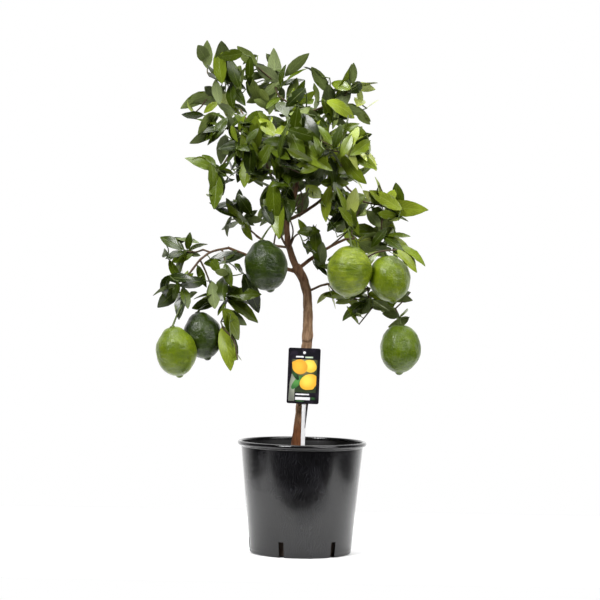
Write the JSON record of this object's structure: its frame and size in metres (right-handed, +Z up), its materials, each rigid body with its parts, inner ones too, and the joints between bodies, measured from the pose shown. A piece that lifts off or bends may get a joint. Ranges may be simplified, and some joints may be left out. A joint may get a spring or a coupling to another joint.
{
  "type": "potted lemon tree",
  "caption": "Young lemon tree in a round nursery pot: a slender trunk forks into boughs that carry separate masses of foliage and fruit, with a picture label on a stake.",
  "frame": {"origin": "middle of the pot's flat underside", "axes": "+Z up along the pot's axis, +X to the right seen from the front, -Y towards the front, where the label faces"},
  "size_m": [0.4483, 0.2811, 0.8326],
  "materials": {
    "pot": "black moulded plastic with a satin sheen, scuffed",
    "compost": "coarse fibrous dark brown potting compost, rough",
    "bark": "thin matt bark, brown with fine cracks, redder on young stems",
    "foliage": "glossy dark green leaves, paler and matt underneath, with green fruit",
    "label_card": "thin printed plastic card, smooth with a soft gloss",
    "label_stake": "white flat plastic stake, smooth"
  },
  "bodies": {
    "root": {"bough_left": "bark", "bough_left_end": "bark", "bough_left_inner": "bark", "bough_left_tip": "bark", "bough_left_upper": "bark", "bough_right": "bark", "bough_right_end": "bark", "compost": "compost", "foliage_arm_hanging": "foliage", "foliage_arm_low": "foliage", "foliage_arm_mid": "foliage", "foliage_arm_outer": "foliage", "foliage_arm_tip": "foliage", "foliage_centre_fruiting": "foliage", "foliage_crown_back": "foliage", "foliage_crown_back_left": "foliage", "foliage_crown_back_right": "foliage", "foliage_crown_front": "foliage", "foliage_crown_heart": "foliage", "foliage_crown_left": "foliage", "foliage_crown_low": "foliage", "foliage_crown_low_back": "foliage", "foliage_crown_right": "foliage", "foliage_left_hanging": "foliage", "foliage_left_low": "foliage", "foliage_left_mid": "foliage", "foliage_left_upper": "foliage", "foliage_right_fruiting": "foliage", "foliage_right_hanging": "foliage", "foliage_right_low": "foliage", "foliage_right_mid": "foliage", "foliage_right_mid_back": "foliage", "foliage_right_outer": "foliage", "foliage_right_under": "foliage", "foliage_top_centre": "foliage", "foliage_top_left": "foliage", "foliage_top_middle": "foliage", "foliage_top_right": "foliage", "foliage_under_crown": "foliage", "label": "label_card", "label_stake": "label_stake", "leader": "bark", "leader_top": "bark", "pot": "pot", "shoot_left_mid": "bark", "shoot_right_low": "bark", "shoot_right_outer": "bark", "shoot_top_left": "bark", "shoot_top_middle": "bark", "shoot_top_right": "bark", "stem_back": "bark", "stem_front": "bark", "stem_left": "bark", "stem_right": "bark", "trunk": "bark", "twig_left": "bark", "twig_right": "bark", "twig_right_low": "bark"}
  },
  "joints": []
}
